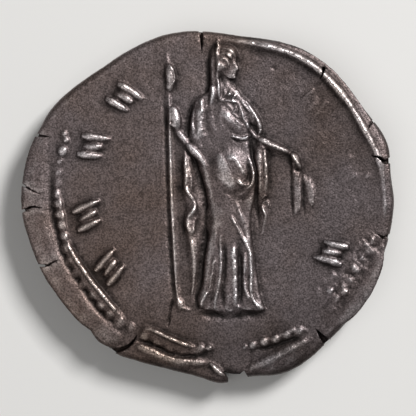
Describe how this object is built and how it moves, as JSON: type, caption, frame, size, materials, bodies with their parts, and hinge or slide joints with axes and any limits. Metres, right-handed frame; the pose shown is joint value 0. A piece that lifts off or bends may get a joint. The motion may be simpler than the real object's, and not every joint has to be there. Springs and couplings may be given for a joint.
{
  "type": "denarius coin",
  "caption": "Worn struck silver coin lying flat: a standing draped figure with a torch inside a partial bead border, on an oval off-centre blank with a cracked edge.",
  "frame": {"origin": "middle of the coin, on the level that its lower side rests on", "axes": "+Z out of the face with the standing figure, +Y towards that figure's head, +X to its right as seen from above, along the coin's widest measure"},
  "size_m": [0.018, 0.017, 0.0021],
  "materials": {
    "silver": "worn old silver with a dark grey-brown tone in the recesses and brighter metal on the high points"
  },
  "bodies": {
    "root": {"coin": "silver"}
  },
  "joints": []
}
